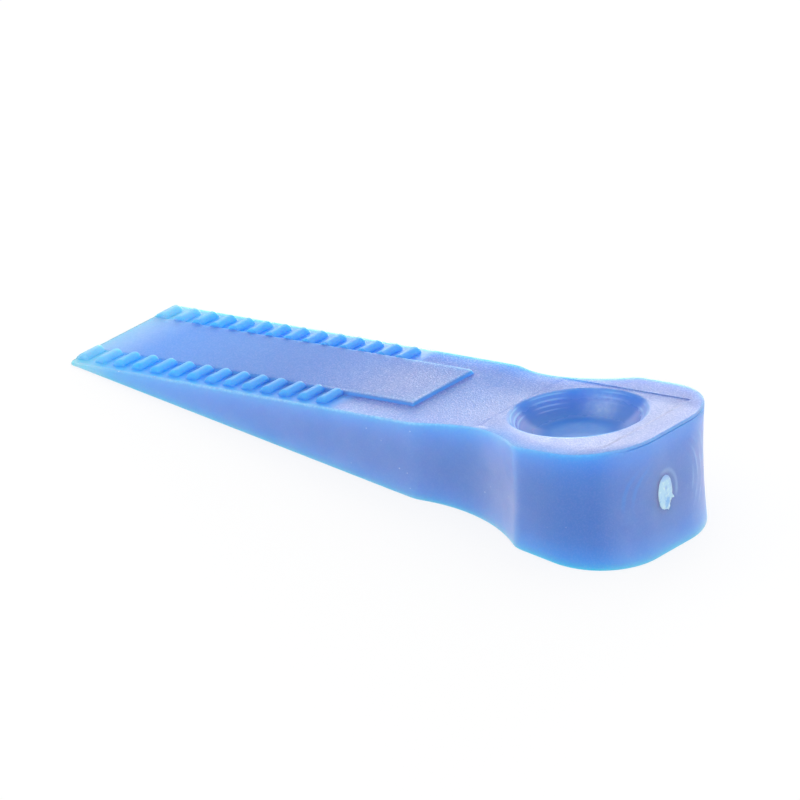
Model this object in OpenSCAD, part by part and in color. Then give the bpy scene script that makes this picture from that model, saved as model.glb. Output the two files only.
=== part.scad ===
// Reusable wedge of a tile levelling set, moulded in one piece.
// A ribbed, sloping blade slides under the bar of a tile clip, and the
// head behind it has finger scallops and a thumb dish for pushing and pulling.
// X runs from the tip to the head, Z is up and the underside lies on Z = 0.

/* [Overall] */
// Length along the underside, from the tip to the end of the head
overall_l = 86.7; // [80:0.1:100]
// Slope of the top face in degrees
incline = 10; // [8:0.5:11]
// Thickness of the tip
tip_t = 0.36; // [0.3:0.02:0.8]
// Lean of the head's end face in degrees
end_draft = 2.6; // [0:0.1:4]

/* [Blade] */
// Width of the blade
blade_w = 20.2; // [18:0.2:22]

/* [Panel] */
// Width of the raised panel at its foot
panel_w = 11.6; // [9:0.2:13]
// Length of the panel, from the tip
panel_l = 51.3; // [45:0.1:53]
// Height of the panel at the tip
panel_tip_h = 0.2; // [0.15:0.05:0.6]
// Height of the panel at its end
panel_end_h = 0.7; // [0.5:0.05:1.2]
// Lean of the panel's walls in degrees
panel_draft = 24; // [10:1:35]

/* [Ribs] */
// Ribs along each side of the panel
rib_count = 14; // [5:1:16]
// Distance from rib to rib
rib_pitch = 2.95; // [2.6:0.05:3.1]
// Distance from the tip to the foot of the first rib
rib_start = 0.1; // [0.05:0.05:2]
// Width of a rib where it meets the blade
rib_w = 1.9; // [1.4:0.1:2.2]
// Height of a rib
rib_h = 0.75; // [0.5:0.05:0.9]
// Distance from the outer end of a rib to the edge of the blade
rib_margin = 1.1; // [0.4:0.1:1.5]
// Radius that rounds the outer end of a rib
rib_end_r = 0.45; // [0.2:0.05:0.7]

/* [Waist] */
// Width of the waist between the finger scallops
waist_w = 17.4; // [16:0.2:18]
// Radius of a finger scallop
waist_r = 17.4; // [15:0.2:22]
// Distance from the end of the head to the middle of the waist
waist_back = 24.6; // [23:0.2:27]
// Radius of the shoulder where a scallop meets the head
shoulder_r = 3; // [1:0.1:4]

/* [Head] */
// Width of the head
head_w = 23.8; // [22:0.2:26]
// Radius of the head's end corners
corner_r = 8.7; // [5:0.1:10]
// Rise of the head's top over the slope
head_lift = 0.3; // [0.1:0.05:0.5]
// Distance from the end of the head to where its top starts to rise
lift_back = 28.6; // [26:0.2:32]
// Length over which it rises
lift_l = 7; // [5:0.5:10]

/* [Land around the dish] */
// Distance from the end of the head to the start of the sunk land
land_back = 23.7; // [22:0.1:26]
// Length of the land
land_l = 19.6; // [19:0.1:21]
// Width of the land
land_w = 16.5; // [16.2:0.1:17.2]
// Depth of the land at its start
land_start_step = 0.06; // [0.04:0.01:0.15]
// Depth of the land at its far end
land_end_step = 0.1; // [0.06:0.01:0.3]

/* [Thumb dish] */
// Distance from the end of the head to the middle of the dish
dish_back = 14.8; // [13.7:0.1:15]
// Length of the dish
dish_l = 18.2; // [16.2:0.1:18.4]
// Width of the dish
dish_w = 15.3; // [12:0.1:15.8]
// Depth of the dish
dish_depth = 2.7; // [2:0.1:4]
// Radius between the floor and the wall of the dish
dish_foot_r = 1.8; // [0.8:0.1:1.9]
// Radius of the dish's rounded lip
dish_lip_r = 0.8; // [0.3:0.1:1]

/* [Gate scar] */
// Diameter of the scar that the moulding gate leaves on the end face
gate_d = 3; // [1.5:0.1:4]
// Height of the scar
gate_h = 0.25; // [0.1:0.05:0.3]
// Height of the scar's middle over the underside
gate_z = 7.7; // [5:0.1:9]
// Sideways place of the scar's middle
gate_y = -0.7; // [-1:0.1:1]

/* [Hidden] */
$fn = 96;
// room by which cutting shapes run past the solid
past = 2;
waist_x = overall_l - waist_back;
waist_y = waist_w / 2 + waist_r;
land_x = overall_l - land_back;
dish_x = overall_l - dish_back;
lift_x = overall_l - lift_back;
// a rib is a slice of this radius, with its axis below the slope
rib_r = (rib_w * rib_w / 4 + rib_h * rib_h) / (2 * rib_h);
rib_first = rib_start + rib_w / 2;
rib_inner = panel_w / 2 - panel_tip_h;
rib_outer = blade_w / 2 - rib_margin;
// the panel and the ribs are rooted this far into the blade
root = tip_t / 2;
// the shoulder circle reaches the head's side and the scallop, and stands this much past them
shoulder_proud = 0.005;
shoulder_y = head_w / 2 - shoulder_r;
shoulder_x = waist_x + sqrt(pow(waist_r + shoulder_r, 2) - pow(waist_y - shoulder_y, 2));
corner_x = overall_l - corner_r;
corner_y = head_w / 2 - corner_r;
land_rise = head_lift * min(1, (land_x - lift_x) / lift_l);
land_dip = atan((land_rise - land_start_step - head_lift + land_end_step) / land_l);
// part of the lip's quarter round that is kept, so that its edge is crisp
lip_share = 0.7;
dish_wall = dish_w / 2 - lip_share * dish_lip_r;
dish_half = (dish_l - dish_w) / 2;

function slope_z(x) = tip_t + x * tan(incline);

module on_slope(x) {
    translate([x, 0, slope_z(x)])
        rotate([0, -incline, 0])
            children();
}

module across(width) {
    rotate([90, 0, 0])
        linear_extrude(width, center = true)
            children();
}

// outline seen from above
module plan() {
    difference() {
        union() {
            translate([-past, -blade_w / 2])
                square([waist_x + past, blade_w]);
            translate([waist_x, -head_w / 2])
                square([corner_x - waist_x, head_w]);
            translate([waist_x, -corner_y])
                square([overall_l - waist_x, 2 * corner_y]);
            for (side = [-1, 1])
                translate([corner_x, side * corner_y])
                    circle(corner_r);
        }
        for (side = [-1, 1])
            translate([waist_x, side * waist_y])
                circle(waist_r);
        for (side = [0, 1])
            mirror([0, side])
                shoulder_trim();
    }
}

// what the rounded shoulder takes off the corner between a scallop and the head's side
module shoulder_trim() {
    reach = 3 * shoulder_r / (waist_r + shoulder_r);
    translate([shoulder_x, shoulder_y])
        difference() {
            polygon([
                [0, 0],
                [0, 3 * shoulder_r],
                [reach * (waist_x - shoulder_x), reach * (waist_y - shoulder_y)]
            ]);
            circle(shoulder_r + shoulder_proud);
        }
}

// outline seen from the side
module side() {
    tall = slope_z(overall_l) + head_lift;
    polygon([
        [0, 0],
        [0, tip_t],
        [lift_x, slope_z(lift_x)],
        [lift_x + lift_l, slope_z(lift_x + lift_l) + head_lift],
        [overall_l, tall],
        [overall_l, 0]
    ]);
}

module body() {
    tall = slope_z(overall_l) + head_lift + past;
    intersection() {
        translate([overall_l, 0, 0])
            rotate([0, -end_draft, 0])
                translate([-overall_l, 0, -past])
                    linear_extrude(tall + 2 * past)
                        plan();
        across(head_w + past)
            side();
    }
}

module panel() {
    tall = panel_end_h + past;
    lean = tan(panel_draft);
    end_x = panel_l - lean * panel_end_h;
    intersection() {
        on_slope(0)
            translate([-past, 0, 0])
                rotate([90, 0, 90])
                    linear_extrude(panel_l / cos(incline) + 2 * past)
                        polygon([
                            [-panel_w / 2 - lean * root, -root],
                            [panel_w / 2 + lean * root, -root],
                            [panel_w / 2 - lean * tall, tall],
                            [-panel_w / 2 + lean * tall, tall]
                        ]);
        across(panel_w + past)
            polygon([
                [0, root],
                [0, tip_t + panel_tip_h],
                [end_x, slope_z(end_x) + panel_end_h],
                [panel_l, slope_z(panel_l)],
                [panel_l, slope_z(panel_l) - root]
            ]);
    }
}

module rib() {
    length = rib_outer - rib_inner;
    translate([0, rib_inner, rib_h - rib_r])
        rotate([-90, 0, 0])
            rotate_extrude(angle = -180) {
                square([rib_r, length - rib_end_r]);
                square([rib_r - rib_end_r, length]);
                translate([rib_r - rib_end_r, length - rib_end_r])
                    intersection() {
                        circle(rib_end_r);
                        square(rib_end_r);
                    }
            }
}

module ribs() {
    for (k = [0 : rib_count - 1])
        on_slope(rib_first + k * rib_pitch)
            for (side = [0, 1])
                mirror([0, side])
                    rib();
}

// frame of the sunk land, with X along it and Z out of it
module on_land(x) {
    on_slope(land_x)
        translate([0, 0, land_rise - land_start_step])
            rotate([0, land_dip, 0])
                translate([x, 0, 0])
                    children();
}

module land() {
    on_land(0)
        translate([0, -land_w / 2, 0])
            cube([land_l, land_w, past]);
}

// half section of the dish, measured from its middle and its rim
module dish_section() {
    difference() {
        union() {
            translate([0, -dish_depth])
                square([dish_wall - dish_foot_r, dish_depth + past]);
            translate([0, dish_foot_r - dish_depth])
                square([dish_wall, dish_depth - dish_foot_r + past]);
            translate([dish_wall - dish_foot_r, dish_foot_r - dish_depth])
                circle(dish_foot_r);
            translate([0, -dish_lip_r])
                square([dish_w / 2, dish_lip_r + past]);
        }
        translate([dish_wall + dish_lip_r, -dish_lip_r])
            circle(dish_lip_r);
        translate([-dish_w, -dish_depth - past])
            square([dish_w, dish_depth + 3 * past]);
    }
}

module dish() {
    on_land((dish_x - land_x) / cos(incline)) {
        for (end = [-1, 1])
            translate([end * dish_half, 0, 0])
                rotate([0, 0, -90 * end])
                    rotate_extrude(angle = 180)
                        dish_section();
        for (side = [0, 1])
            mirror([0, side])
                translate([-dish_half, 0, 0])
                    rotate([90, 0, 90])
                        linear_extrude(2 * dish_half)
                            dish_section();
    }
}

module gate_scar() {
    lean_x = gate_z * tan(end_draft);
    translate([overall_l - lean_x, gate_y, gate_z])
        rotate([0, 90 - end_draft, 0])
            translate([0, 0, -gate_h])
                cylinder(2 * gate_h, d = gate_d);
}

module wedge() {
    color("royalblue")
        translate([-overall_l / 2, 0, 0]) {
            difference() {
                body();
                land();
                dish();
            }
            panel();
            ribs();
            gate_scar();
        }
}

wedge();
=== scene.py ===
import math
from types import SimpleNamespace

import bpy
import numpy as np
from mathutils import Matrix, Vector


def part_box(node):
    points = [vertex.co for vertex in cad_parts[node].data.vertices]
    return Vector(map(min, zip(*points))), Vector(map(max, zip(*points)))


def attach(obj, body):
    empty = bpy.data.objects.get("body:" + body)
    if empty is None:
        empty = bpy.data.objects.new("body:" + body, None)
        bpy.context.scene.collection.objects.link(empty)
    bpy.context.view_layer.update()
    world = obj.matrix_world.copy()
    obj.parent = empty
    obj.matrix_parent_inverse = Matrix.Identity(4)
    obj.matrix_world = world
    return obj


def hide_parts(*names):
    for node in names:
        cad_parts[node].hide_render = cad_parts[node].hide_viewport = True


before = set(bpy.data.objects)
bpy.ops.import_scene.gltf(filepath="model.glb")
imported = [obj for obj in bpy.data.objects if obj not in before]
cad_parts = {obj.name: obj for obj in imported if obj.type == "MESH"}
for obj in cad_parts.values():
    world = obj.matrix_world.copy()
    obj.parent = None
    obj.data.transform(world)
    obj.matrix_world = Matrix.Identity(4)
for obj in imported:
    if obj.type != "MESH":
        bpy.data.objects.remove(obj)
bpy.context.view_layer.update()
lowCorner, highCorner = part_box("wedge")
mm = 0.001  # shapes are worked out in millimetres from the tip, Blender is in metres
wedgeLength = (highCorner.x - lowCorner.x) / mm
wedgeHalf = (highCorner.y - lowCorner.y) / 2 / mm
wedgeHeight = highCorner.z / mm
print("frame loaded, wedge", round(wedgeLength, 2), "mm long")


# small helpers for smooth shapes

def smoothStep(low, high, value):
    share = np.clip((value - low) / (high - low), 0.0, 1.0)
    return share * share * (3.0 - 2.0 * share)


def fadeOut(low, high, value):
    return 1.0 - smoothStep(low, high, value)


def between(start, full, fading, end, value):
    # 1 over a stretch, with soft ends
    return smoothStep(start, full, value) * fadeOut(fading, end, value)


def softClamp(value, soft):
    return 0.5 * (np.sqrt(value ** 2 + soft ** 2) - np.sqrt((value - 1.0) ** 2 + soft ** 2) + 1.0)


def softMax(first, second, soft):
    return 0.5 * (first + second + np.sqrt((first - second) ** 2 + soft ** 2))


def softMin(first, second, soft):
    return -softMax(-first, -second, soft)


def softNoise(values, seed, waves):
    # smooth repeatable wobble along a line, about -1 to 1
    draw = np.random.RandomState(seed)
    total = np.zeros_like(values)
    for wave in waves:
        total += np.sin(2.0 * math.pi * (values / wave + draw.rand()))
    return total / len(waves)


def makePiece(name, points, faces):
    mesh = bpy.data.meshes.new(name)
    mesh.from_pydata(((points - [wedgeLength / 2, 0.0, 0.0]) * mm).tolist(), [], faces)
    mesh.validate()
    mesh.shade_smooth()
    piece = bpy.data.objects.new(name, mesh)
    bpy.context.scene.collection.objects.link(piece)
    return piece


def writeMaps(mesh, maps):
    for name, values in maps.items():
        layer = mesh.attributes.new(name, "FLOAT", "POINT")
        layer.data.foreach_set("value", values.astype(np.float32))


# the wedge itself

wedgeForm = {
    "tipThick": 0.36,
    "slope": math.radians(10.0),
    "lean": math.tan(math.radians(2.6)),  # the end and the scallops lean towards the tip
    "leanFrom": 20.0,  # no lean where the blade's sides are straight
    "leanFull": 48.0,
    "bladeHalf": 10.1,
    "tipCorner": 0.6,
    "waistBack": 24.6,  # from the end of the head to the middle of the waist
    "waistHalf": 8.7,
    "waistRadius": 17.4,
    "kinkSoft": 0.25,  # how softly a scallop starts
    "shoulderRadius": 3.0,
    "cornerRadius": 8.7,
    "headRise": 0.3,  # the head's rim stands this much over the slope
    "riseBack": 28.6,  # from the end of the head to where its top starts to rise
    "riseRun": 7.0,
    "riseSoft": 0.15,
    "edge": 0.22,  # radius of the top edge
    "edgeFuzz": 0.02,  # its unevenness
    "footEdge": 0.12,  # radius of the bottom edge
    "sink": 0.28,  # shrink hollow in the walls of the thick head
    "sinkFrom": 58.0,
    "sinkFull": 76.0,
}
panelForm = {
    "footHalf": 5.8,
    "length": 51.3,
    "tipHeight": 0.2,
    "endHeight": 0.72,
    "wallRun": 0.3,
    "soft": 0.35,  # roundness of its upper edge
}
ribForm = {
    "count": 14,
    "pitch": 2.95,
    "first": 1.05,
    "width": 1.9,
    "height": 0.75,
    "outer": 9.0,
    "endRadius": 0.45,
    "rootRun": 0.15,  # how a rib comes out of the panel's wall
    "rootSoft": 0.2,
    "soft": 0.06,
}
landForm = {
    "back": 23.7,
    "length": 19.6,
    "half": 8.25,
    "startStep": 0.025,
    "endStep": 0.07,
    "seam": 0.03,  # half the width of the step's wall
}
dishForm = {
    "back": 14.7,
    "halfLength": 8.95,
    "halfWidth": 7.65,
    "depth": 2.7,
    "crown": 0.04,  # share of the depth that the floor itself is hollow
    "floorShare": 0.5,
    "lip": 0.07,
    "lipNearer": 0.045,  # the lip is sharper on the near side and softer at both ends
    "lipEnds": 0.09,
    "wallPower": 2.3,
    # where the polishing shows, its arcs drawn with a painted reflection, and where the wall is hazy:
    # from and to which angle, from how far out, how strongly
    "polished": ((132.0, 176.0, 0.74, 0.6), (184.0, 250.0, 0.78, 1.0),
                 (4.0, 62.0, 0.84, 1.0), (70.0, 112.0, 0.82, 0.5)),
    "polishedRun": 0.07,
    "hazy": ((184.0, 236.0, 0.4, 0.4), (4.0, 60.0, 0.5, 0.42), (126.0, 180.0, 0.7, 0.1)),
    "hazyRun": 0.25,
    "fade": 14.0,  # degrees over which both start and end
}
partingGroove = {
    "start": 0.03,  # below the rounded top edge
    "inRun": 0.02,
    "height": 0.14,
    "outRun": 0.04,
    "depth": 0.16,
}
meshLines = {
    "panelEdge": (1.3, 1.05, 0.85, 0.7, 0.56, 0.44, 0.35, 0.27, 0.2, 0.13, 0.07, 0.02, -0.03, -0.1),
    "ribGap": (0.05, 0.17, 0.525, 0.88, 1.0),
    "ribEnd": (0.0, 0.12, 0.22, 0.32, 0.42, 0.5, 0.57, 0.63, 0.68,
               0.71, 0.74, 0.8, 0.95, 1.2, 1.45, 1.69),
    "wall": (0.08, 0.18, 0.3, 0.42, 0.54, 0.66, 0.78, 0.9, 1.0),  # shares of the wall's height
    "overRib": 15,
    "panelLength": 22,  # from the last rib to the panel's end
    "neck": 34,
    "endCorner": 22,
    "panelWidth": 18,
    "ribLength": 9,
    "dishShare": 0.86,  # share of the land's rings that lie in the dish
    "dishPower": 1.5,  # crowds the rings towards the lip
}

waistX = wedgeLength - wedgeForm["waistBack"]
waistY = wedgeForm["waistHalf"] + wedgeForm["waistRadius"]
shoulderY = wedgeHalf - wedgeForm["shoulderRadius"]
shoulderReach = wedgeForm["waistRadius"] + wedgeForm["shoulderRadius"]
shoulderX = waistX + math.sqrt(shoulderReach ** 2 - (waistY - shoulderY) ** 2)
cornerX = wedgeLength - wedgeForm["cornerRadius"]
cornerY = wedgeHalf - wedgeForm["cornerRadius"]
riseX = wedgeLength - wedgeForm["riseBack"]
landX = wedgeLength - landForm["back"]
landEndX = landX + landForm["length"] * math.cos(wedgeForm["slope"])
dishX = wedgeLength - dishForm["back"]
ribRadius = (ribForm["width"] ** 2 / 4 + ribForm["height"] ** 2) / (2 * ribForm["height"])


def slopeHeight(x):
    return wedgeForm["tipThick"] + x * math.tan(wedgeForm["slope"])


def rimRise(x):
    return wedgeForm["headRise"] * softClamp((x - riseX) / wedgeForm["riseRun"], wedgeForm["riseSoft"])


def leanAt(x):
    return wedgeForm["lean"] * smoothStep(wedgeForm["leanFrom"], wedgeForm["leanFull"], x)


def sideOutline():
    # one side of the underside's outline, from the tip to the end, with outward normals
    radius = wedgeForm["tipCorner"]
    turn = np.linspace(math.pi, math.pi / 2, 40)
    parts = [np.column_stack([radius + radius * np.cos(turn),
                              wedgeForm["bladeHalf"] - radius + radius * np.sin(turn)])]
    towards = np.array([waistX - shoulderX, waistY - shoulderY]) / shoulderReach
    meet = np.array([shoulderX, shoulderY]) + wedgeForm["shoulderRadius"] * towards
    x = np.linspace(radius, meet[0], 2400)[1:]
    hollow = np.sqrt(np.maximum(wedgeForm["waistRadius"] ** 2 - (x - waistX) ** 2, 0.0))
    blade = np.where(x < waistX, wedgeForm["bladeHalf"], 2.0 * wedgeHalf)
    parts.append(np.column_stack([x, softMin(blade, waistY - hollow, wedgeForm["kinkSoft"])]))
    turn = np.linspace(math.atan2(towards[1], towards[0]), math.pi / 2, 60)[1:]
    parts.append(np.column_stack([shoulderX + wedgeForm["shoulderRadius"] * np.cos(turn),
                                  shoulderY + wedgeForm["shoulderRadius"] * np.sin(turn)]))
    x = np.linspace(shoulderX, cornerX, 400)[1:]
    parts.append(np.column_stack([x, np.full_like(x, wedgeHalf)]))
    turn = np.linspace(math.pi / 2, 0.0, 400)[1:]
    parts.append(np.column_stack([cornerX + wedgeForm["cornerRadius"] * np.cos(turn),
                                  cornerY + wedgeForm["cornerRadius"] * np.sin(turn)]))
    points = np.vstack(parts)
    along = np.gradient(points, axis=0)
    along /= np.linalg.norm(along, axis=1)[:, None]
    return points, np.column_stack([-along[:, 1], along[:, 0]])


def panelHeight(x, y):
    share = np.clip(x / panelForm["length"], 0.0, 1.0)
    height = panelForm["tipHeight"] + (panelForm["endHeight"] - panelForm["tipHeight"]) * share
    sideways = softMin((panelForm["footHalf"] - np.abs(y)) / panelForm["wallRun"], 1.0, panelForm["soft"])
    endways = softMin((panelForm["length"] - x) / panelForm["wallRun"], 1.0, panelForm["soft"])
    return height * np.maximum(sideways, 0.0) * np.maximum(endways, 0.0)


def ribHeight(x, y):
    nearest = np.clip(np.round((x - ribForm["first"]) / ribForm["pitch"]), 0, ribForm["count"] - 1)
    across = x - ribForm["first"] - nearest * ribForm["pitch"]
    end = ribForm["endRadius"]
    over = np.maximum(np.abs(y) - (ribForm["outer"] - end), 0.0)
    radius = ribRadius - end + np.sqrt(np.maximum(end ** 2 - over ** 2, 0.0))
    rise = np.sqrt(np.maximum(radius ** 2 - across ** 2, 0.0)) - (ribRadius - ribForm["height"])
    inner = panelForm["footHalf"] - panelForm["wallRun"]
    rooted = softClamp((np.abs(y) - inner) / ribForm["rootRun"], ribForm["rootSoft"])
    return np.where(over > end, 0.0, np.maximum(rise, 0.0) * rooted)


def dishOut(x, y):
    # 0 in the middle of the dish and 1 at its rim
    return np.sqrt(((x - dishX) / dishForm["halfLength"]) ** 2 + (y / dishForm["halfWidth"]) ** 2)


def dishDepth(x, y):
    out = dishOut(x, y)
    share = np.clip((1.0 - out) / (1.0 - dishForm["floorShare"]), 0.0, 1.0)
    endways = smoothStep(0.55, 0.9, np.abs(x - dishX) / dishForm["halfLength"])
    lip = dishForm["lip"] + dishForm["lipEnds"] * endways
    lip = lip - dishForm["lipNearer"] * smoothStep(0.0, 4.5, -y) * (1.0 - endways)
    fall = share ** 2 / (share + lip) * (1.0 + lip)
    depth = 1.0 - (1.0 - fall) ** dishForm["wallPower"]
    return dishForm["depth"] * depth * (1.0 - dishForm["crown"] * np.minimum(out, 1.0) ** 2)


def topHeight(x, y):
    raised = softMax(panelHeight(x, y), ribHeight(x, y), ribForm["soft"]) - 0.5 * ribForm["soft"]
    raised = np.where(x < panelForm["length"] + 0.5, np.maximum(raised, 0.0), 0.0)
    onLand = (x > landX) & (x < landEndX) & (np.abs(y) < landForm["half"])
    along = np.clip((x - landX) / (landEndX - landX), 0.0, 1.0)
    landStart = rimRise(landX) - landForm["startStep"]
    landEnd = wedgeForm["headRise"] - landForm["endStep"]
    land = landStart + (landEnd - landStart) * along - dishDepth(x, y)
    return slopeHeight(x) + raised + np.where(onLand, land, rimRise(x))


def columnPlaces():
    # half of the columns: across the blade, and the same columns across the head
    landSide = landForm["half"] - landForm["seam"]
    wall = panelForm["footHalf"] - np.array(meshLines["panelEdge"])
    blade = np.concatenate([np.linspace(0.0, wall[0], meshLines["panelWidth"])[:-1], wall,
                            np.linspace(wall[-1], landSide, meshLines["ribLength"])[1:]])
    head = np.linspace(0.0, landSide, len(blade))
    bladeRim = np.array(meshLines["ribEnd"]) / meshLines["ribEnd"][-1]
    headRim = np.linspace(0.0, 1.0, len(bladeRim))
    return blade, head, bladeRim, headRim


def rowPlaces():
    # where the rows of the top lie, closest together where the form turns
    turn = math.asin(ribForm["width"] / 2 / ribRadius)
    overRib = ribRadius * np.sin(np.linspace(-turn, turn, meshLines["overRib"]))
    gap = ribForm["width"] / 2 + np.array(meshLines["ribGap"])
    rows = []
    for number in range(ribForm["count"]):
        middle = ribForm["first"] + number * ribForm["pitch"]
        rows += [middle + overRib, middle + gap]
    panelEnd = panelForm["length"] - np.array(meshLines["panelEdge"])
    rows.append(np.linspace(rows[-1][-1], panelEnd[0], meshLines["panelLength"])[1:-1])
    rows.append(panelEnd)
    seam = landForm["seam"]
    rows.append(np.linspace(panelEnd[-1], landX - seam, meshLines["neck"])[1:])
    rings = len(columnPlaces()[0]) - 1  # as many rings along the land as across it
    rows.append(np.linspace(landX + seam, landEndX - seam, 2 * rings + 1))
    lean, rise = wedgeForm["lean"], math.tan(wedgeForm["slope"])
    inset = wedgeForm["cornerRadius"] - wedgeForm["edge"]
    startPlan = landEndX + seam + lean * slopeHeight(landEndX + seam)
    turn = np.linspace(math.asin((startPlan - cornerX) / inset), math.pi / 2, meshLines["endCorner"])
    plan = cornerX + inset * np.sin(turn)
    rows.append((plan - lean * wedgeForm["tipThick"]) / (1.0 + lean * rise))
    rows = np.concatenate(rows)
    rows[0] = wedgeForm["edge"]
    return rows


def wrapRoundDish(gridX, gridY):
    # bends the land's square grid into rings, so that the dish has a clean round lip
    tiny = 1e-6
    halfLong = (landEndX - landX) / 2 - landForm["seam"]
    halfWide = landForm["half"] - landForm["seam"]
    u = (gridX - (landX + landEndX) / 2) / halfLong
    v = gridY / halfWide
    ring = np.maximum(np.abs(u), np.abs(v))
    inside = (ring > tiny) & (ring < 1.0 - tiny)
    safe = np.maximum(ring, tiny)
    wide = np.abs(u) >= np.abs(v)
    turn = np.where(wide, math.pi / 4 * v / np.where(wide, u, 1.0), 0.0)
    turn = np.where(wide & (u < 0.0), turn + math.pi, turn)
    turn = np.where(wide, turn, np.sign(v) * math.pi / 2 - math.pi / 4 * u / np.where(wide, 1.0, v))
    dishShare = meshLines["dishShare"]
    out = 1.0 - (1.0 - np.minimum(ring / dishShare, 1.0)) ** meshLines["dishPower"]
    dishedX = dishX + dishForm["halfLength"] * out * np.cos(turn)
    dishedY = dishForm["halfWidth"] * out * np.sin(turn)
    blend = np.clip((ring - dishShare) / (1.0 - dishShare), 0.0, 1.0)
    borderX = (landX + landEndX) / 2 + halfLong * u / safe
    borderY = halfWide * v / safe
    bentX = dishedX + (borderX - dishedX) * blend
    bentY = dishedY + (borderY - dishedY) * blend
    bentX = np.where(ring <= tiny, dishX, bentX)
    return np.where(inside | (ring <= tiny), bentX, gridX), np.where(inside, bentY, gridY)


def topGrid(rowX, reach):
    # the columns of each row, narrow over the panel's edge and even over the head
    blade, head, bladeRim, headRim = columnPlaces()
    half = np.zeros((len(rowX), len(blade) + len(headRim)))
    spread = smoothStep(panelForm["length"] + 0.6, landX - 3.0, rowX)[:, None]
    half[:, :len(blade)] = blade + (head - blade) * spread
    start = landForm["half"] + landForm["seam"]
    half[:, len(blade):] = start + (reach[:, None] - start) * (bladeRim + (headRim - bladeRim) * spread)
    pastLand = rowX > landEndX
    lastLand = np.flatnonzero(~pastLand)[-1]
    half[pastLand] = half[lastLand] * (reach[pastLand] / reach[lastLand])[:, None]
    gridY = np.hstack([-half[:, :0:-1], half])
    gridX = np.repeat(rowX[:, None], gridY.shape[1], axis=1)
    return wrapRoundDish(gridX, gridY)


def loopRound(rows, columns):
    # rows and columns met on the way round the top: near side, end, far side, tip
    loop = [(i, 0) for i in range(rows)]
    loop += [(rows - 1, j) for j in range(1, columns)]
    loop += [(i, columns - 1) for i in range(rows - 2, -1, -1)]
    loop += [(0, j) for j in range(columns - 2, 0, -1)]
    return np.array(loop).T


def wedgeFaces(rows, columns, rimLoop, ringCount):
    index = np.arange(rows * columns).reshape(rows, columns)
    quads = np.stack([index[:-1, :-1], index[1:, :-1], index[1:, 1:], index[:-1, 1:]], axis=-1)
    faces = quads.reshape(-1, 4).tolist()
    upper = rimLoop
    count = len(rimLoop)
    for ring in range(ringCount):
        lower = rows * columns + ring * count + np.arange(count)
        faces += np.column_stack([upper, lower, np.roll(lower, -1), np.roll(upper, -1)]).tolist()
        upper = lower
    # the underside, in strips from the near to the far side
    near = upper[:rows]
    endRow = upper[rows - 1:rows + columns - 1]
    far = upper[rows + columns - 2:2 * rows + columns - 2][::-1]
    tipRow = np.concatenate([[far[0]], upper[2 * rows + columns - 2:], [near[0]]])
    for i in range(1, rows - 2):
        faces.append([near[i], far[i], far[i + 1], near[i + 1]])
    faces.append([near[1]] + tipRow[::-1].tolist() + [far[1]])
    faces.append([near[rows - 2], far[rows - 2]] + endRow[::-1].tolist())
    return faces


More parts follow.
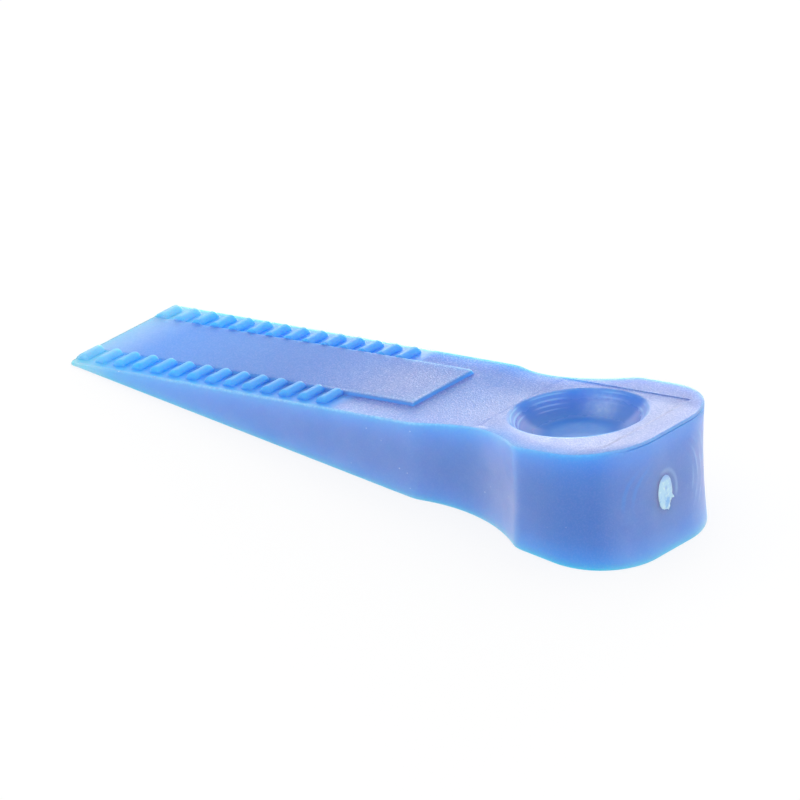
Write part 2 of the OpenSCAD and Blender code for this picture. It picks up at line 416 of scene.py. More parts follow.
def buildWedge():
    outline, outward = sideOutline()
    rowX = rowPlaces()
    lean = leanAt(rowX)
    edge = wedgeForm["edge"]
    number = np.arange(len(outline))
    place = np.interp(rowX + lean * slopeHeight(rowX), outline[:, 0] - outward[:, 0] * edge, number)
    edgeX, edgeY, normX, normY = (np.interp(place, number, line) for line in (*outline.T, *outward.T))
    reach = edgeY - normY * edge  # half width of each row at the top
    gridX, gridY = topGrid(rowX, reach)
    gridZ = topHeight(gridX, gridY)
    rows, columns = gridX.shape
    topCount = rows * columns

    # foot of the wall under each point of the top's edge, and which way it faces
    loopI, loopJ = loopRound(rows, columns)
    side = np.where(loopJ < columns // 2, -1.0, 1.0)
    atEnd = loopI == rows - 1
    atTip = loopI == 0
    footX = np.where(atEnd, wedgeLength, np.where(atTip, 0.0, edgeX[loopI]))
    footY = np.where(atEnd | atTip, gridY[loopI, loopJ], side * edgeY[loopI])
    outX = np.where(atEnd, 1.0, np.where(atTip, -1.0, normX[loopI]))
    outY = np.where(atEnd | atTip, 0.0, side * normY[loopI])
    topZ = gridZ[loopI, loopJ]
    onEnd = smoothStep(0.8, 0.98, outX)

    verts = [np.column_stack([gridX.ravel(), gridY.ravel(), gridZ.ravel()])]
    below = [np.zeros(topCount)]
    endFace = [np.zeros(topCount)]
    # the seam map carries painted shade in the parting groove's rings on the end face
    seam = [np.zeros(topCount)]

    def addRing(inset, z, dark=0.0):
        x = footX - outX * inset - lean[loopI] * z
        verts.append(np.column_stack([x, footY - outY * inset, z]))
        below.append(topZ - z)
        endFace.append(smoothStep(0.55, 0.92, outX))
        seam.append(dark * onEnd)

    # rounded top edge, parting groove, hollow wall, rounded foot
    steps = np.hypot(np.diff(footX, prepend=footX[0]), np.diff(footY, prepend=footY[0]))
    wobble = 0.5 + 0.5 * softNoise(np.cumsum(steps), 5, (0.9, 1.7, 3.1, 7.3))
    for angle in np.radians([22.5, 45.0, 67.5, 90.0]):
        fuzz = wedgeForm["edgeFuzz"] * wobble * math.sin(2.0 * angle)
        addRing(edge * (1.0 - math.sin(angle)) + fuzz, topZ - edge * (1.0 - math.cos(angle)))
    wallTop = topZ - edge
    wallFoot = np.minimum(wedgeForm["footEdge"], 0.3 * wallTop)
    tall = wallTop - wallFoot
    fit = np.minimum(1.0, tall / 3.0)  # the groove is narrower where the wall is low
    cut = partingGroove["depth"] * onEnd * (0.7 + 0.3 * wobble)
    drop = 0.0
    for run, deep in (("start", 0.0), ("inRun", 1.0), ("height", 1.0), ("outRun", 0.0)):
        drop += partingGroove[run]
        addRing(cut * deep, wallTop - drop * fit, deep)
    shrink = wedgeForm["sink"] * smoothStep(wedgeForm["sinkFrom"], wedgeForm["sinkFull"], footX)
    for share in meshLines["wall"]:
        addRing(shrink * 4.0 * share * (1.0 - share), wallTop - drop * fit - share * (tall - drop * fit))
    for angle in np.radians([30.0, 60.0, 90.0]):
        addRing(wallFoot * (1.0 - math.cos(angle)), wallFoot * (1.0 - math.sin(angle)))

    points = np.vstack(verts)
    rimLoop = loopI * columns + loopJ
    faces = wedgeFaces(rows, columns, rimLoop, len(verts) - 1)
    body = makePiece("wedge_body", points, faces)
    body.data.set_sharp_from_angle(angle=math.radians(48.0))
    toEdge = np.zeros(len(points))
    toEdge[:topCount] = (reach[:, None] - np.abs(gridY)).ravel()
    spot = lookOver(points, topCount, np.concatenate(below), np.concatenate(endFace), toEdge)
    writeMaps(body.data, {
        "grained": grainMap(spot),
        "rough": roughMap(spot),
        "edgeWearAndHighlight": wearAndHighlightMap(spot, rimLoop),
        "frostAndSheen": frostAndSheenMap(spot),
        "smudgeAndReflection": smudgeAndReflectionMap(spot),
        "glow": glowMap(spot),
        "shade": shadeMap(spot),
        "polishMarksAndReflection": polishMarksAndReflectionMap(spot),
        "flow": spot.endFace * fadeOut(-4.5, -2.5, spot.y) * between(6.5, 8.5, 11.0, 13.0, spot.z),
        "streaks": spot.endFace * smoothStep(2.5, 5.0, spot.y) * between(3.0, 6.0, 11.5, 13.5, spot.z),
        "endFace": spot.endFace,
        "dishOut": np.where(spot.inDish, spot.out, 2.0),
        "seam": np.concatenate(seam),
        "side": np.where(spot.onTop, 0.0, 1.0),
    })
    print("wedge built,", len(points), "points", len(faces), "faces")
    return body


# finish maps that the plastic reads: how strong each is where, with x from the tip and y to the far side

def lookOver(points, topCount, below, endFace, toEdge):
    # what the maps need to know of each point
    x, y, z = points.T
    spot = SimpleNamespace(x=x, y=y, z=z, below=below, endFace=endFace, toEdge=toEdge)
    spot.onTop = np.arange(len(points)) < topCount
    spot.out = dishOut(x, y)
    turn = np.arctan2(y / dishForm["halfWidth"], (x - dishX) / dishForm["halfLength"])
    spot.turn = np.degrees(turn) % 360.0
    spot.inDish = spot.onTop & (spot.out < 1.0)
    spot.panelRise = panelHeight(x, y)
    lowerPart = 0.75 * panelHeight(np.minimum(x, 40.0), 0.0 * y)
    spot.onWall = (spot.panelRise > 0.03) & (spot.panelRise < lowerPart) & (x < panelForm["length"] + 0.2)
    ribbed = fadeOut(41.0, 43.0, x) * smoothStep(5.5, 5.9, np.abs(y))
    spot.bare = np.where(spot.onTop, np.maximum(ribbed, spot.onWall), 0.0)  # polished ribs and panel walls
    spot.headNear = between(62.0, 68.0, 83.5, 86.0, x) * smoothStep(2.0, 5.0, -y)
    spot.nearEdge = spot.headNear * fadeOut(0.0, 2.8, toEdge)
    return spot


def dishSectors(spot, sectors, run):
    total = np.zeros_like(spot.out)
    fade = dishForm["fade"]
    for start, end, inner, strength in sectors:
        sector = between(start, start + fade, end - fade, end, spot.turn)
        total = total + strength * sector * smoothStep(inner, inner + run, spot.out)
    return total


def polishMarksAndReflectionMap(spot):
    # polishing arcs in the dish, whose pale lines are a painted reflection
    polishMarksAndReflection = dishSectors(spot, dishForm["polished"], dishForm["polishedRun"])
    return np.where(spot.inDish, polishMarksAndReflection * fadeOut(0.95, 0.985, spot.out), 0.0)


grainAt = {
    "tip": 0.25,
    "slope": 0.75,
    "head": -0.4,
    "bare": 0.12,
    "lip": 0.45,
    "wall": 0.15,
}


def grainMap(spot):
    top = grainAt["tip"] + grainAt["slope"] * smoothStep(28.0, 46.0, spot.x)
    top = top + grainAt["head"] * smoothStep(58.0, 68.0, spot.x)
    top = top + (grainAt["bare"] - top) * spot.bare
    top = np.where(spot.inDish, grainAt["lip"] * smoothStep(0.95, 1.02, spot.out), top)
    return np.where(spot.onTop, top, grainAt["wall"])


roughAt = {
    "tip": 0.62,
    "slope": -0.12,
    "head": -0.12,
    "farSide": 0.1,
    "farWaist": -0.16,
    "farHalf": 0.14,
    "nearHead": -0.04,
    "nearEdge": 0.2,
    "bare": 0.36,
    "dish": 0.24,
    "dishFloor": 0.2,
    "lip": 0.16,
    "nearLip": 0.5,
    "wall": 0.36,
    "farRim": 0.4,
}


def roughMap(spot):
    x, y, out = spot.x, spot.y, spot.out
    top = roughAt["tip"] + roughAt["slope"] * smoothStep(30.0, 46.0, x)
    top = top + roughAt["head"] * smoothStep(50.0, 72.0, x)
    farSide = roughAt["farSide"] + roughAt["farWaist"] * between(54.0, 60.0, 64.0, 70.0, x)
    top = top + farSide * smoothStep(5.6, 7.6, y)
    top = top + roughAt["farHalf"] * smoothStep(0.5, 5.0, y) * between(34.0, 46.0, 63.0, 70.0, x)
    top = top + roughAt["nearHead"] * spot.headNear + roughAt["nearEdge"] * spot.nearEdge
    top = top + (roughAt["bare"] - top) * spot.bare
    dish = roughAt["dish"] + roughAt["dishFloor"] * fadeOut(0.42, 0.72, out)
    dish = dish + roughAt["lip"] * smoothStep(0.85, 0.97, out)
    dish = dish + roughAt["nearLip"] * smoothStep(0.88, 0.95, out) * smoothStep(0.5, 3.0, -y)
    top = np.where(spot.inDish, dish, top)
    wall = roughAt["wall"] + roughAt["farRim"] * smoothStep(3.0, 7.0, y) * fadeOut(0.3, 1.0, spot.below)
    return np.where(spot.onTop, top, wall)


wearAndHighlightAt = {
    "least": 0.3,
    "middle": 0.7,
    "farSide": -0.7,
}


def wearAndHighlightMap(spot, rimLoop):
    # scuffs and a painted highlight along the edges, most of them at the middle of the near one
    wearAndHighlight = np.where(spot.onTop, 0.0, fadeOut(0.1, 0.4, spot.below))
    wearAndHighlight[rimLoop] = 1.0
    wearAndHighlight = wearAndHighlight * (wearAndHighlightAt["least"] + wearAndHighlightAt["middle"] * between(8.0, 25.0, 56.0, 64.0, spot.x))
    return wearAndHighlight * (1.0 + wearAndHighlightAt["farSide"] * smoothStep(0.0, 5.0, spot.y))


frostAndSheenAt = {
    "wall": 0.19,
    "bladeWall": 0.08,
    "shoulder": 0.28,
    "headWall": -0.06,
    "backWall": -0.05,
    "endFace": 0.17,
    "farEnd": 0.17,
    "top": 0.05,
    "panelEnd": 0.11,
    "head": 0.03,
    "nearBlade": 0.2,
    "nearWaist": 0.12,
    "bare": 0.04,
    "crestHighlight": 0.35,  # painted highlight along the panel's upper edge
    "farCrestHighlight": -0.2,
    # painted light in the thin tip
    "tip": 0.3,
}


def frostAndSheenMap(spot):
    # pale bloom of the handled faces, with painted sheen on the top and the sides, a painted highlight
    # along the panel's upper edge and painted light in the thin tip
    x, y = spot.x, spot.y
    wall = frostAndSheenAt["wall"] + frostAndSheenAt["bladeWall"] * fadeOut(54.0, 60.0, x)
    wall = wall + frostAndSheenAt["shoulder"] * between(61.0, 70.0, 70.6, 73.2, x)
    wall = wall + frostAndSheenAt["headWall"] * smoothStep(73.0, 79.0, x)
    wall = wall + frostAndSheenAt["backWall"] * smoothStep(71.0, 79.0, x)
    wall = wall + spot.endFace * (frostAndSheenAt["endFace"] + frostAndSheenAt["farEnd"] * smoothStep(2.0, 8.0, y))
    top = frostAndSheenAt["top"] + frostAndSheenAt["panelEnd"] * between(38.0, 48.0, 51.0, 54.0, x)
    top = top + frostAndSheenAt["head"] * between(58.0, 64.0, 79.0, 82.0, x)
    top = top + frostAndSheenAt["nearBlade"] * smoothStep(5.5, 8.5, -y) * fadeOut(46.0, 58.0, x)
    top = top + frostAndSheenAt["nearWaist"] * smoothStep(0.0, 5.0, -y) * between(50.0, 55.0, 61.0, 66.0, x)
    top = top + (frostAndSheenAt["bare"] - top) * spot.bare
    top = np.where(spot.inDish, dishSectors(spot, dishForm["hazy"], dishForm["hazyRun"]), top)
    inward = np.minimum(panelForm["footHalf"] - np.abs(y), panelForm["length"] - x)
    crestHighlight = between(0.16, 0.3, 0.4, 0.65, inward) * smoothStep(26.0, 40.0, x)
    top = top + (frostAndSheenAt["crestHighlight"] + frostAndSheenAt["farCrestHighlight"] * smoothStep(-2.0, 3.0, y)) * crestHighlight
    return np.where(spot.onTop, top, wall) + frostAndSheenAt["tip"] * fadeOut(1.0, 9.0, x)


smudgeAndReflectionAt = {
    "farWallReflection": 0.95,
    "floor": 0.28,
    "bladeEnd": 0.12,
}


def smudgeAndReflectionMap(spot):
    # painted reflection on the dish's far wall, and paler patches on its floor and on its end towards the
    # blade
    patch = np.exp(-((spot.x - 70.8) / 2.5) ** 2 - ((spot.y - 6.0) / 1.3) ** 2)
    smudgeAndReflection = smudgeAndReflectionAt["farWallReflection"] * patch + smudgeAndReflectionAt["floor"] * fadeOut(0.32, 0.53, spot.out)
    smudgeAndReflection = smudgeAndReflection + smudgeAndReflectionAt["bladeEnd"] * fadeOut(64.5, 70.0, spot.x)
    return np.where(spot.inDish, smudgeAndReflection, 0.0)


glowAt = {
    "upperEdge": 0.7,
    "upperFade": 2.4,  # millimetres over which the light dies away
    "waist": 0.25,
    "lowerEdge": 0.6,
    "lowerFade": 1.7,
    "headFoot": 0.45,
    "bare": 0.53,
    "panelWall": -0.1,
    "tip": 0.35,
    "farEdge": 0.32,
    "nearEdge": 0.6,
}


def glowMap(spot):
    # light gathers along the edges of the milky plastic, in the ribs and in the thin tip
    x, y, z, below = spot.x, spot.y, spot.z, spot.below
    upper = glowAt["upperEdge"] + glowAt["waist"] * between(54.0, 60.0, 66.0, 72.0, x)
    upper = upper * np.exp(-below / glowAt["upperFade"]) * (0.6 + 0.4 * smoothStep(0.1, 0.8, below))
    upper = upper * (1.0 - spot.endFace * fadeOut(0.2, 0.7, below))
    lower = glowAt["lowerEdge"] + glowAt["headFoot"] * smoothStep(64.0, 76.0, x)
    lower = lower * np.exp(-z / glowAt["lowerFade"]) * (0.75 + 0.25 * smoothStep(0.0, 0.6, z))
    top = glowAt["bare"] * spot.bare + glowAt["panelWall"] * spot.onWall
    top = top + glowAt["tip"] * fadeOut(6.0, 34.0, x)
    farEdge = fadeOut(0.4, 3.2, spot.toEdge) * fadeOut(66.0, 74.0, x) * (1.0 - spot.bare)
    top = top + glowAt["farEdge"] * farEdge * smoothStep(2.0, 5.0, y) + glowAt["nearEdge"] * spot.nearEdge
    return np.minimum(np.where(spot.onTop, top, upper + lower), 1.0)


shadeAt = {
    "top": 0.12,
    "head": 0.35,
    "end": 0.25,
    "panelEnd": 0.3,
    "nearGaps": 0.33,
    "farRim": 0.6,
}


def shadeMap(spot):
    # less light comes out of the thick head, the panel's end and the gaps between the near ribs
    x, y = spot.x, spot.y
    top = shadeAt["top"] + shadeAt["head"] * smoothStep(56.0, 66.0, x)
    top = top + shadeAt["end"] * smoothStep(78.0, 82.0, x)
    top = np.where(spot.inDish, 0.0, top * (1.0 - spot.bare))
    top = top + shadeAt["panelEnd"] * smoothStep(36.0, 46.0, x) * (spot.panelRise > 0.3)
    inGap = spot.bare * fadeOut(0.05, 0.4, ribHeight(x, y)) * fadeOut(6.2, 8.2, np.abs(y))
    inGap = inGap * smoothStep(0.0, 3.0, -y) * smoothStep(8.0, 24.0, x) * (x < 41.0)
    farRim = smoothStep(3.0, 7.0, y) * fadeOut(0.2, 0.6, spot.below) * smoothStep(2.0, 12.0, x)
    return np.where(spot.onTop, top + shadeAt["nearGaps"] * inGap, shadeAt["farRim"] * farRim)


# the torn stub where the part was broken off its runner, on the end face

gateForm = {
    "y": -1.07,
    "z": 7.82,
    "halfWide": 1.35,
    "halfTall": 2.36,
    "rise": 0.12,
    "foot": 0.03,
    "rooted": 0.1,
    "hollowFrom": 0.29,  # the end face is hollow from this far below its top edge
    "holeY": 0.05,  # small hole in the scar, as shares of the halves
    "holeZ": 0.24,
    "holeWide": 0.14,
    "holeTall": 0.09,
    "holeDeep": 0.12,
    "crumb": 0.03,
    "spur": 0.36,  # ragged spur at the lower right, and the tail below
    "tail": 0.17,
    "rings": 24,
    "spokes": 160,
}


def endFaceX(z):
    # the sunk middle of the end face
    rim = slopeHeight(wedgeLength - wedgeForm["lean"] * wedgeHeight) + wedgeForm["headRise"]
    top = rim - wedgeForm["edge"] - gateForm["hollowFrom"]
    share = np.clip((top - z) / (top - wedgeForm["footEdge"]), 0.0, 1.0)
    return wedgeLength - wedgeForm["lean"] * z - wedgeForm["sink"] * 4.0 * share * (1.0 - share)


def buildGateScar():
    spokes = gateForm["spokes"]
    share = np.linspace(0.0, 1.0, gateForm["rings"])[1:, None]
    turn = np.linspace(-math.pi, math.pi, spokes, endpoint=False)[None, :]

    def bulge(middle, width):
        return np.exp(-((turn - middle) / width) ** 2)

    ragged = 0.035 * softNoise(turn / math.pi, 3, (1.0, 0.5, 0.25, 0.125))
    ragged = ragged + gateForm["spur"] * bulge(-0.4, 0.09) + gateForm["tail"] * bulge(-1.13, 0.25)
    ragged = ragged - 0.1 * bulge(-0.75, 0.16)
    ragged = ragged + 0.1 * bulge(-0.9, 0.5) * softNoise(turn / math.pi, 11, (0.2, 0.125, 0.0625))
    sideways = share * (1.0 + ragged) * np.cos(turn)
    upwards = share * (1.0 + ragged) * np.sin(turn)
    y = gateForm["y"] + gateForm["halfWide"] * sideways
    z = gateForm["z"] + gateForm["halfTall"] * upwards

    # crumbled surface with a small hole, rooted in the end face at its rim
    hole = np.exp(-((sideways - gateForm["holeY"]) / gateForm["holeWide"]) ** 2
                  - ((upwards - gateForm["holeZ"]) / gateForm["holeTall"]) ** 2)
    lower = fadeOut(-0.5, 0.1, upwards)
    crumbs = softNoise(y + 0.35 * z, 21, (0.31, 0.47, 0.83))
    crumbs = crumbs + softNoise(z - 0.5 * y, 22, (0.37, 0.61, 1.1))
    height = gateForm["foot"] + gateForm["rise"] * (0.6 + 0.4 * (1.0 - share ** 2))
    height = height + gateForm["crumb"] * crumbs * (0.3 + 0.7 * lower) - gateForm["holeDeep"] * hole
    height = height * fadeOut(0.88, 1.0, share) - gateForm["rooted"] * smoothStep(0.92, 1.0, share)
    x = endFaceX(z) + height
    middle = np.array([[endFaceX(gateForm["z"]) + 0.05, gateForm["y"], gateForm["z"]]])
    points = np.vstack([middle, np.stack([x, y, z], axis=-1).reshape(-1, 3)])

    faces = [[0, 1 + k, 1 + (k + 1) % spokes] for k in range(spokes)]
    for ring in range(len(share) - 1):
        inner, outer = 1 + ring * spokes, 1 + (ring + 1) * spokes
        for k in range(spokes):
            following = (k + 1) % spokes
            faces.append([inner + k, outer + k, outer + following, inner + following])
    rim = 1 + (len(share) - 1) * spokes
    faces.append([rim + k for k in range(spokes)][::-1])
    scar = makePiece("gate_scar", points, faces)

    torn = 1.0 - 0.5 * smoothStep(0.5, 1.0, upwards) - 0.6 * hole
    torn = torn - 0.35 * smoothStep(0.3, 0.9, sideways) * smoothStep(-0.2, 0.4, upwards)
    torn = torn * (1.0 - 0.6 * smoothStep(0.95, 1.0, share))
    writeMaps(scar.data, {
        "torn": np.concatenate([[torn[0].mean()], torn.ravel()]),
        "lower": np.concatenate([[lower[0].mean()], lower.ravel()]),
    })
    print("gate scar built,", len(points), "points")
    return scar


# finishes

def addNode(tree, kind, inputs=None, **settings):
    node = tree.nodes.new(kind)
    for name, value in settings.items():
        setattr(node, name, value)
    for name, value in (inputs or {}).items():
        node.inputs[name].default_value = value
    return node


def addMath(tree, operation, *values):
    node = tree.nodes.new("ShaderNodeMath")
    node.operation = operation
    for number, value in enumerate(values):
        if isinstance(value, (int, float)):
            node.inputs[number].default_value = value
        else:
            tree.links.new(value, node.inputs[number])
    return node.outputs[0]


def addTimes(tree, value, *others):
    for other in others:
        value = addMath(tree, "MULTIPLY", value, other)
    return value


def addNoise(tree, place, size, detail, roughness=0.5):
    # size is the width of a blotch in millimetres
    node = addNode(tree, "ShaderNodeTexNoise",
                   {"Scale": 1.0 / (size * mm), "Detail": detail, "Roughness": roughness})
    tree.links.new(place, node.inputs["Vector"])
    return node.outputs["Fac"]


def addRamp(tree, value, low, high):
    node = addNode(tree, "ShaderNodeMapRange", {"From Min": low, "From Max": high},
                   interpolation_type="SMOOTHSTEP")
    tree.links.new(value, node.inputs["Value"])
    return node.outputs["Result"]


def addTint(tree, share, colour, over):
    # lays a colour over another one
    node = addNode(tree, "ShaderNodeMix", data_type="RGBA")
    tree.links.new(share, node.inputs[0])
    node.inputs[7].default_value = colour
    if isinstance(over, tuple):
        node.inputs[6].default_value = over
    else:
        tree.links.new(over, node.inputs[6])
    return node.outputs[2]


def addRelief(tree, shader, height):
    bump = addNode(tree, "ShaderNodeBump", {"Strength": 1.0, "Distance": 1.0})
    tree.links.new(height, bump.inputs["Height"])
    tree.links.new(bump.outputs["Normal"], shader.inputs["Normal"])


def readMap(tree, name):
    return addNode(tree, "ShaderNodeAttribute", attribute_name=name).outputs["Fac"]


def startPlastic(name, look):
    # milky body that lets light through
    material = bpy.data.materials.new(name)
    material.use_nodes = True
    shader = material.node_tree.nodes["Principled BSDF"]
    shader.inputs["Subsurface Weight"].default_value = 1.0
    shader.inputs["Subsurface Radius"].default_value = look["spread"]
    shader.inputs["Subsurface Scale"].default_value = look["depth"] * mm
    place = addNode(material.node_tree, "ShaderNodeTexCoord").outputs["Object"]
    return material, shader, place


plasticLook = {
    "colour": (0.036, 0.163, 0.555, 1.0),
    "paleWearAndHighlightColour": (0.52, 0.79, 1.0, 1.0),
    "frostAndSheenColour": (0.48, 0.54, 0.83, 1.0),
    "polishedColour": (0.018, 0.176, 0.62, 1.0),
    "speckColour": (0.85, 0.95, 1.0, 1.0),
    "grooveShadeColour": (0.018, 0.107, 0.46, 1.0),
    "glowColour": (0.036, 0.373, 0.9, 1.0),
    "smudgeAndReflectionColour": (0.28, 0.44, 0.72, 1.0),
    "shadeColour": (0.038, 0.076, 0.305, 1.0),
    "depth": 7.0,  # millimetres that light travels inside
    "spread": (0.12, 0.75, 1.0),
    "bend": 1.52,  # refractive index
    "grainSize": 0.22,
    "grainDepth": 0.055,
    "fineSize": 0.11,
    "fineDepth": 0.014,
    "speckGap": 1.5,
    "speckSize": 0.07,
    "toolRings": 18.0,
    "toolDepth": 0.008,
    "flowGap": 1.1,
    "flowDepth": 0.012,
    "waveSize": 9.0,
    "waveDepth": 0.05,
    "witnessHalfWide": 2.1,  # ring that the runner left round the scar
    "witnessHalfTall": 2.8,
    "bloomAndSheenPatch": 3.0,  # widths of the blotches that break up each mark
    "smudgeAndReflectionPatch": 0.7,
    "scuffAndHighlightPatch": 0.4,
    "speckPatch": 7.0,
    "arcsAndReflectionPatch": 3.2,
    "flowPatch": 5.0,
    "streakPatch": 2.0,
    "glossPatch": 1.1,
    "fleckShare": 0.38,  # how strongly each mark shows
    "scuffAndHighlightShare": 0.22,
    "scuffAndHighlightLeast": 0.05,
    "speckShare": 0.35,
    "grooveShadeShare": 0.6,
    "arcsAndReflectionShare": 0.5,
    "flowShare": 0.2,
    "streakShare": 0.26,
    "witnessShare": 0.25,
    "glossShare": 0.12,
}


def layColours(tree, place, out, fleck):
    # polished dish, painted light at the edges, painted shade where less light comes out, pale bloom with
    # painted sheen, a painted reflection and paler smudges in the dish, worn edges with a painted
    # highlight, dust, painted shade in the parting groove
    look = plasticLook
    colour = addTint(tree, addRamp(tree, out, 1.0, 0.94), look["polishedColour"], look["colour"])
    colour = addTint(tree, readMap(tree, "glow"), look["glowColour"], colour)
    colour = addTint(tree, readMap(tree, "shade"), look["shadeColour"], colour)
    # pale bloom with painted sheen and highlights, plus the grain's flecks
    patchy = addMath(tree, "MULTIPLY_ADD", addNoise(tree, place, look["bloomAndSheenPatch"], 3.0), 0.6, 0.7)
    bloomAndSheen = addMath(tree, "ADD", addTimes(tree, readMap(tree, "frostAndSheen"), patchy), fleck)
    colour = addTint(tree, bloomAndSheen, look["frostAndSheenColour"], colour)
    # painted reflection on the dish's far wall, and paler patches in the dish
    dabs = addRamp(tree, addNoise(tree, place, look["smudgeAndReflectionPatch"], 4.0, 0.65), 0.35, 0.7)
    dabs = addMath(tree, "MULTIPLY_ADD", dabs, 0.4, 0.8)
    colour = addTint(tree, addTimes(tree, readMap(tree, "smudgeAndReflection"), dabs), look["smudgeAndReflectionColour"], colour)
    # scuffs with a painted highlight along the edges
    scuffAndHighlight = addRamp(tree, addNoise(tree, place, look["scuffAndHighlightPatch"], 3.0), 0.35, 0.7)
    scuffAndHighlight = addMath(tree, "MULTIPLY_ADD", scuffAndHighlight, look["scuffAndHighlightShare"], look["scuffAndHighlightLeast"])
    colour = addTint(tree, addTimes(tree, readMap(tree, "edgeWearAndHighlight"), scuffAndHighlight), look["paleWearAndHighlightColour"], colour)
    dust = addNode(tree, "ShaderNodeTexVoronoi",
                   {"Scale": 1.0 / (look["speckGap"] * mm), "Randomness": 1.0})
    tree.links.new(place, dust.inputs["Vector"])
    dot = addMath(tree, "LESS_THAN", dust.outputs["Distance"], look["speckSize"])
    kept = addRamp(tree, addNoise(tree, place, look["speckPatch"], 1.0), 0.52, 0.62)
    speck = addTimes(tree, dot, kept, readMap(tree, "side"), look["speckShare"])
    colour = addTint(tree, speck, look["speckColour"], colour)
    # painted shade in the parting groove
    grooveShade = addTimes(tree, readMap(tree, "seam"), look["grooveShadeShare"])
    return addTint(tree, grooveShade, look["grooveShadeColour"], colour)


def gateDistance(tree, place):
    # millimetres from the middle of the scar
    away = addNode(tree, "ShaderNodeVectorMath", operation="DISTANCE")
    away.inputs[1].default_value = ((wedgeLength / 2 - 0.6) * mm, gateForm["y"] * mm, gateForm["z"] * mm)
    tree.links.new(place, away.inputs[0])
    return addMath(tree, "DIVIDE", away.outputs["Value"], mm)


def witnessRing(tree, place):
    # the part of the runner's ring that shows, above and to the right of the scar
    axes = addNode(tree, "ShaderNodeSeparateXYZ")
    tree.links.new(place, axes.inputs[0])
    sideways = addMath(tree, "SUBTRACT", axes.outputs["Y"], (gateForm["y"] + 0.1) * mm)
    sideways = addMath(tree, "DIVIDE", sideways, plasticLook["witnessHalfWide"] * mm)
    upwards = addMath(tree, "SUBTRACT", axes.outputs["Z"], gateForm["z"] * mm)
    upwards = addMath(tree, "DIVIDE", upwards, plasticLook["witnessHalfTall"] * mm)
    squares = addMath(tree, "ADD", addTimes(tree, sideways, sideways), addTimes(tree, upwards, upwards))
    oval = addMath(tree, "SQRT", squares)
    line = addTimes(tree, addRamp(tree, oval, 0.8, 0.98), addRamp(tree, oval, 1.16, 1.0))
    shown = addRamp(tree, addMath(tree, "ADD", sideways, upwards), 0.3, 0.9)
    return addTimes(tree, line, shown, readMap(tree, "endFace"))


def makeBluePlastic():
    look = plasticLook
    material, shader, place = startPlastic("blue_plastic", look)
    tree = material.node_tree
    shader.inputs["IOR"].default_value = look["bend"]
    out = readMap(tree, "dishOut")
    grained = readMap(tree, "grained")
    grain = addNoise(tree, place, look["grainSize"], 2.0, 0.6)
    fleck = addTimes(tree, addRamp(tree, grain, 0.42, 0.68), grained, look["fleckShare"])
    colour = layColours(tree, place, out, fleck)

    # arcs of the polishing in the dish: real tool marks, their pale lines a painted reflection
    ring = addMath(tree, "SINE", addTimes(tree, out, look["toolRings"] * 2.0 * math.pi))
    polishMarksAndReflection = readMap(tree, "polishMarksAndReflection")
    broken = addRamp(tree, addNoise(tree, place, look["arcsAndReflectionPatch"], 1.0), 0.3, 0.5)
    arcsAndReflection = addTimes(tree, addRamp(tree, ring, 0.1, 1.0), broken, polishMarksAndReflection, look["arcsAndReflectionShare"])
    colour = addTint(tree, arcsAndReflection, look["paleWearAndHighlightColour"], colour)

    # rings of flow round the gate, streaks on the far part of the end face, and the runner's ring
    far = gateDistance(tree, place)
    bent = addMath(tree, "MULTIPLY_ADD", addNoise(tree, place, look["flowPatch"], 1.0), 0.9, far)
    wave = addMath(tree, "SINE", addTimes(tree, bent, 2.0 * math.pi / look["flowGap"]))
    band = addTimes(tree, addRamp(tree, far, 4.2, 5.0), addRamp(tree, far, 7.8, 6.8), readMap(tree, "flow"))
    flow = addTimes(tree, addRamp(tree, wave, -0.4, 1.0), band, look["flowShare"])
    colour = addTint(tree, flow, look["glowColour"], colour)
    streaks = readMap(tree, "streaks")
    ragged = addRamp(tree, addNoise(tree, place, look["streakPatch"], 2.0), 0.4, 0.6)
    streak = addTimes(tree, addRamp(tree, wave, 0.2, 1.0), streaks, ragged, look["streakShare"])
    colour = addTint(tree, streak, look["paleWearAndHighlightColour"], colour)
    witness = addTimes(tree, witnessRing(tree, place), look["witnessShare"])
    colour = addTint(tree, witness, look["paleWearAndHighlightColour"], colour)
    tree.links.new(colour, shader.inputs["Base Color"])

    # gloss
    uneven = addMath(tree, "SUBTRACT", addNoise(tree, place, look["glossPatch"], 2.0), 0.5)
    gloss = addMath(tree, "MULTIPLY_ADD", uneven, look["glossShare"], readMap(tree, "rough"))
    tree.links.new(gloss, shader.inputs["Roughness"])

    # relief: eroded grain, slow waves of moulded walls, arcs and flow as above
    coarse = addTimes(tree, grain, look["grainDepth"] * mm)
    fine = addTimes(tree, addNoise(tree, place, look["fineSize"], 1.0), look["fineDepth"] * mm)
    relief = addTimes(tree, addMath(tree, "ADD", coarse, fine), grained)
    waves = addTimes(tree, addNoise(tree, place, look["waveSize"], 1.0), look["waveDepth"] * mm)
    relief = addMath(tree, "ADD", relief, waves)
    relief = addMath(tree, "ADD", relief, addTimes(tree, ring, polishMarksAndReflection, look["toolDepth"] * mm))
    flowing = addMath(tree, "ADD", band, streaks)
    relief = addMath(tree, "ADD", relief, addTimes(tree, wave, flowing, look["flowDepth"] * mm))
    addRelief(tree, shader, relief)
    print("blue plastic mixed")
    return material


tornLook = {
    "colour": (0.137, 0.274, 0.84, 1.0),
    "whiteColour": (0.5, 0.74, 0.98, 1.0),
    "brightColour": (0.7, 0.88, 1.0, 1.0),
    "tealColour": (0.18, 0.45, 0.88, 1.0),
    "depth": 0.15,
    "spread": (0.8, 0.9, 1.0),
    "rough": 0.45,
    "bumpSize": 0.35,
    "bumpDepth": 0.05,
    "brightPatch": 0.45,  # widths of the blotches, and how strongly they show
    "brightShare": 0.6,
    "tealPatch": 0.6,
    "tealShare": 0.7,
}


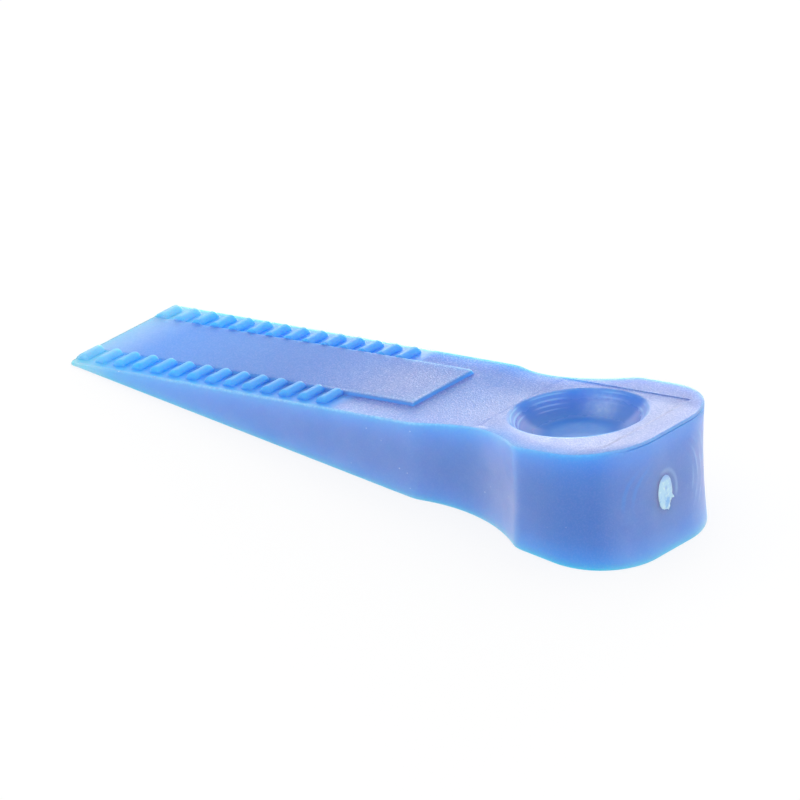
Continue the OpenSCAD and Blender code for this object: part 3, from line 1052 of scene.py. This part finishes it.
def makeTornPlastic():
    look = tornLook
    material, shader, place = startPlastic("torn_plastic", look)
    tree = material.node_tree
    shader.inputs["Roughness"].default_value = look["rough"]
    torn = readMap(tree, "torn")
    colour = addTint(tree, torn, look["whiteColour"], look["colour"])
    bits = addRamp(tree, addNoise(tree, place, look["brightPatch"], 2.0), 0.52, 0.66)
    colour = addTint(tree, addTimes(tree, bits, torn, look["brightShare"]), look["brightColour"], colour)
    teal = addRamp(tree, addNoise(tree, place, look["tealPatch"], 3.0), 0.46, 0.62)
    teal = addTimes(tree, teal, readMap(tree, "lower"), look["tealShare"])
    colour = addTint(tree, teal, look["tealColour"], colour)
    tree.links.new(colour, shader.inputs["Base Color"])
    bumps = addTimes(tree, addNoise(tree, place, look["bumpSize"], 2.0), look["bumpDepth"] * mm)
    addRelief(tree, shader, bumps)
    print("torn plastic mixed")
    return material


# studio

studio = {
    "floorHalf": 1.2,
    "floorDrop": 0.00005,  # keeps the floor clear of the underside
    "floorColour": (0.92, 0.92, 0.92, 1.0),
    "white": (1.0, 1.0, 1.0, 1.0),
    "tableShare": 0.8,  # the floor is lit from below as on a light table
    "tableGlow": 0.8,
    "tableShine": 1.25,  # as mirrored in the plastic
    "fill": 1.1,  # world light on the object
    "backPlace": (-0.19, 0.392, 0.06),
    "backSize": (0.284, 0.115),
    "backPower": 0.95,
}


def makeFloor():
    side = studio["floorHalf"]
    mesh = bpy.data.meshes.new("floor")
    mesh.from_pydata([(-side, -side, 0.0), (side, -side, 0.0), (side, side, 0.0), (-side, side, 0.0)],
                     [], [(0, 1, 2, 3)])
    floor = bpy.data.objects.new("floor", mesh)
    floor.location.z = -studio["floorDrop"]
    bpy.context.scene.collection.objects.link(floor)
    material = bpy.data.materials.new("white_paper")
    material.use_nodes = True
    tree = material.node_tree
    tree.nodes.clear()
    output = addNode(tree, "ShaderNodeOutputMaterial")
    paper = addNode(tree, "ShaderNodeBsdfDiffuse", {"Color": studio["floorColour"]})
    glow = addNode(tree, "ShaderNodeEmission", {"Color": studio["white"]})
    path = addNode(tree, "ShaderNodeLightPath")
    strength = addMath(tree, "MULTIPLY_ADD", path.outputs["Is Camera Ray"],
                       1.0 - studio["tableGlow"], studio["tableGlow"])
    strength = addMath(tree, "MULTIPLY_ADD", path.outputs["Is Glossy Ray"],
                       studio["tableShine"] - studio["tableGlow"], strength)
    tree.links.new(strength, glow.inputs["Strength"])
    mix = addNode(tree, "ShaderNodeMixShader", {"Fac": studio["tableShare"]})
    tree.links.new(paper.outputs[0], mix.inputs[1])
    tree.links.new(glow.outputs[0], mix.inputs[2])
    tree.links.new(mix.outputs[0], output.inputs["Surface"])
    mesh.materials.append(material)


def makeWorld():
    world = bpy.data.worlds.new("studio")
    world.use_nodes = True
    bpy.context.scene.world = world
    tree = world.node_tree
    tree.nodes.clear()
    output = addNode(tree, "ShaderNodeOutputWorld")
    fill = addNode(tree, "ShaderNodeBackground", {"Color": studio["white"], "Strength": studio["fill"]})
    plain = addNode(tree, "ShaderNodeBackground", {"Color": studio["white"], "Strength": 1.0})
    path = addNode(tree, "ShaderNodeLightPath")
    seen = addMath(tree, "MAXIMUM", path.outputs["Is Glossy Ray"], path.outputs["Is Transmission Ray"])
    seen = addMath(tree, "MAXIMUM", path.outputs["Is Camera Ray"], seen)
    mix = addNode(tree, "ShaderNodeMixShader")
    tree.links.new(seen, mix.inputs[0])
    tree.links.new(fill.outputs[0], mix.inputs[1])
    tree.links.new(plain.outputs[0], mix.inputs[2])
    tree.links.new(mix.outputs[0], output.inputs["Surface"])


def makeBackBox():
    light = bpy.data.lights.new("back_box", "AREA")
    light.shape = "RECTANGLE"
    light.size, light.size_y = studio["backSize"]
    light.energy = studio["backPower"]
    box = bpy.data.objects.new("back_box", light)
    box.location = studio["backPlace"]
    middle = (lowCorner + highCorner) / 2
    box.rotation_euler = (middle - box.location).to_track_quat("-Z", "Y").to_euler()
    bpy.context.scene.collection.objects.link(box)


view = {
    "place": (0.728829, -0.862063, 0.583404),
    "turn": 40.174,
    "down": 27.111,
    "lens": 475.0,
}


def makeCamera():
    data = bpy.data.cameras.new("camera")
    data.lens = view["lens"]
    data.sensor_width = 36.0
    data.clip_start, data.clip_end = 0.05, 50.0
    camera = bpy.data.objects.new("camera", data)
    camera.location = view["place"]
    camera.rotation_euler = (math.radians(90.0 - view["down"]), 0.0, math.radians(view["turn"]))
    bpy.context.scene.collection.objects.link(camera)
    bpy.context.scene.camera = camera


makeCamera()
makeFloor()
makeWorld()
makeBackBox()
print("studio set")

wedge = buildWedge()
wedge.data.materials.append(makeBluePlastic())
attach(wedge, "root")
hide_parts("wedge")

gateScar = buildGateScar()
gateScar.data.materials.append(makeTornPlastic())
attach(gateScar, "root")

bpy.context.scene.view_settings.view_transform = "Standard"
